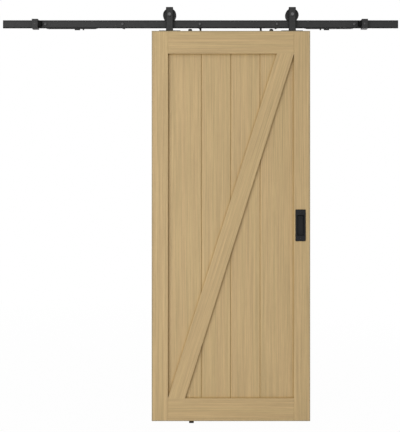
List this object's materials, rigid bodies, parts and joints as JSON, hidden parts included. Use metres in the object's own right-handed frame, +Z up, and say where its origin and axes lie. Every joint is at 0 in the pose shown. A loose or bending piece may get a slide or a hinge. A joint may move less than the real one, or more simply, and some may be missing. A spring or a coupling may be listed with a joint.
{
  "type": "sliding door",
  "caption": "Sliding barn-style door: a framed leaf of vee-jointed boards with a diagonal brace and flush pull, hung by grooved wheels from a black flat track with stops and soft-close dampers.",
  "frame": {"origin": "on the wall face of the middle spacer, on the axis of the track's middle bolt", "axes": "+X along the track, to the right as seen from the room; +Y into the wall; +Z up"},
  "size_m": [2.005, 0.102, 2.1],
  "materials": {
    "oak": "matt clear lacquer",
    "track_black": "matt black powder coat",
    "bolt_black": "satin black",
    "pull_black": "satin black powder coat",
    "black_nylon": "moulded matt",
    "damper_steel": "bright",
    "rubber": "matt"
  },
  "bodies": {
    "wall_fixed": {"floor_guide": "black_nylon", "left_bumper": "rubber", "left_damper_catch": "black_nylon", "left_damper_cylinder": "damper_steel", "left_damper_housing": "black_nylon", "left_stop": "track_black", "right_bumper": "rubber", "right_damper_catch": "black_nylon", "right_damper_cylinder": "damper_steel", "right_damper_housing": "black_nylon", "right_stop": "track_black", "track": "track_black", "track_bolt_1": "bolt_black", "track_bolt_2": "bolt_black", "track_bolt_3": "bolt_black", "track_bolt_4": "bolt_black", "track_bolt_5": "bolt_black", "wall_spacer_1": "track_black", "wall_spacer_2": "track_black", "wall_spacer_3": "track_black", "wall_spacer_4": "track_black", "wall_spacer_5": "track_black"},
    "door_leaf": {"back_brace": "oak", "back_flush_pull": "pull_black", "board_1": "oak", "board_2": "oak", "board_3": "oak", "board_4": "oak", "bottom_rail": "oak", "front_brace": "oak", "front_flush_pull": "pull_black", "left_anti_jump": "black_nylon", "left_axle_bolt": "bolt_black", "left_hanger": "track_black", "left_stile": "oak", "left_trigger": "track_black", "right_anti_jump": "black_nylon", "right_axle_bolt": "bolt_black", "right_hanger": "track_black", "right_stile": "oak", "right_trigger": "track_black", "top_rail": "oak"},
    "left_roller": {"left_wheel": "black_nylon"},
    "right_roller": {"right_wheel": "black_nylon"}
  },
  "joints": [
    {"name": "door_slide", "type": "slide", "parent": "wall_fixed", "child": "door_leaf", "axis": [1, 0, 0], "range_m": [-0.623, 0.31]},
    {"name": "left_wheel_spin", "type": "hinge", "parent": "door_leaf", "child": "left_roller", "pos_m": [-0.1533, -0.041, 0.045], "axis": [0, 1, 0], "continuous": true},
    {"name": "right_wheel_spin", "type": "hinge", "parent": "door_leaf", "child": "right_roller", "pos_m": [0.4667, -0.041, 0.045], "axis": [0, 1, 0], "continuous": true}
  ],
  "couplings": [
    {"joint": "left_wheel_spin", "follows": "door_slide", "rad_per_m": 40},
    {"joint": "right_wheel_spin", "follows": "door_slide", "rad_per_m": 40}
  ]
}
